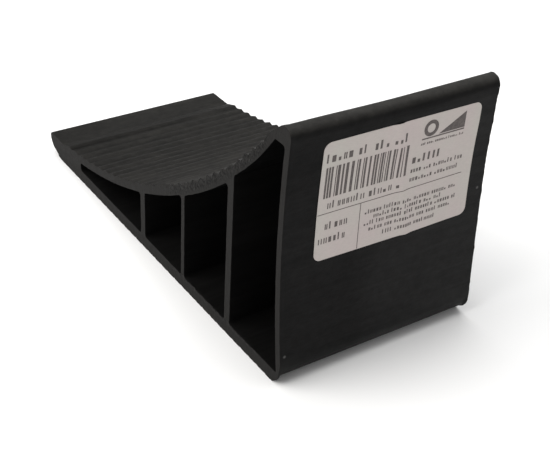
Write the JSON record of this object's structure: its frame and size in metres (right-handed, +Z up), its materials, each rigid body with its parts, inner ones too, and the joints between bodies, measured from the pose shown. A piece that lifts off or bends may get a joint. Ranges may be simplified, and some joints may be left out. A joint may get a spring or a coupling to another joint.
{
  "type": "wheel chock",
  "caption": "Hollow plastic wheel chock with a concave toothed ramp, ribbed sole, upright inner webs, open sides and a labelled heel plate.",
  "frame": {"origin": "on the ground under the middle of the chock's bounding box", "axes": "+X from the toe to the heel plate, +Y from the front side face to the back one along the chock's width, +Z up"},
  "size_m": [0.1684, 0.076, 0.0886],
  "materials": {
    "black_plastic": "matt extruded black plastic, scuffed, with rough saw-cut side faces",
    "label_paper": "uncoated self-adhesive paper with grey-brown print"
  },
  "bodies": {
    "root": {"chock_body": "black_plastic", "label": "label_paper"}
  },
  "joints": []
}
